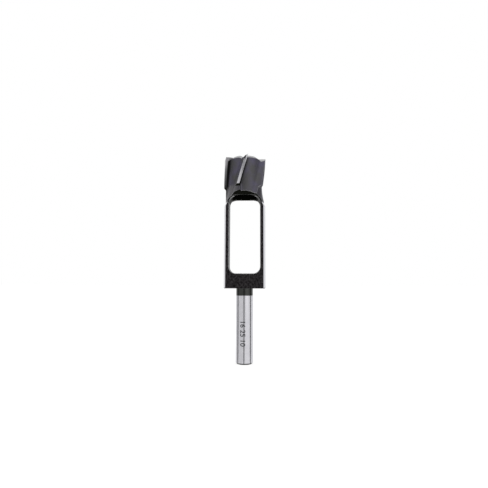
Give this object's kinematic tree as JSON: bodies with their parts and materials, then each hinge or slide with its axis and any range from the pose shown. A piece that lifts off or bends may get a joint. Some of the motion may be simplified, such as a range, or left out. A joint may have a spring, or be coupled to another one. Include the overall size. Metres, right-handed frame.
{
  "type": "plug cutter",
  "caption": "Plug cutter: a round shank, a windowed body milled flat on two sides, and a hollow head with helical blades.",
  "frame": {"origin": "centre of the flat end of the shank", "axes": "+Z along the tool's axis, from the shank to the blades; the window runs through along Y"},
  "size_m": [0.0248, 0.0246, 0.12],
  "materials": {
    "steel": "black oxide on the milled faces, ground bright on the shank, the round sides of the body and the blades' margins"
  },
  "bodies": {
    "root": {"plug_cutter": "steel"}
  },
  "joints": []
}
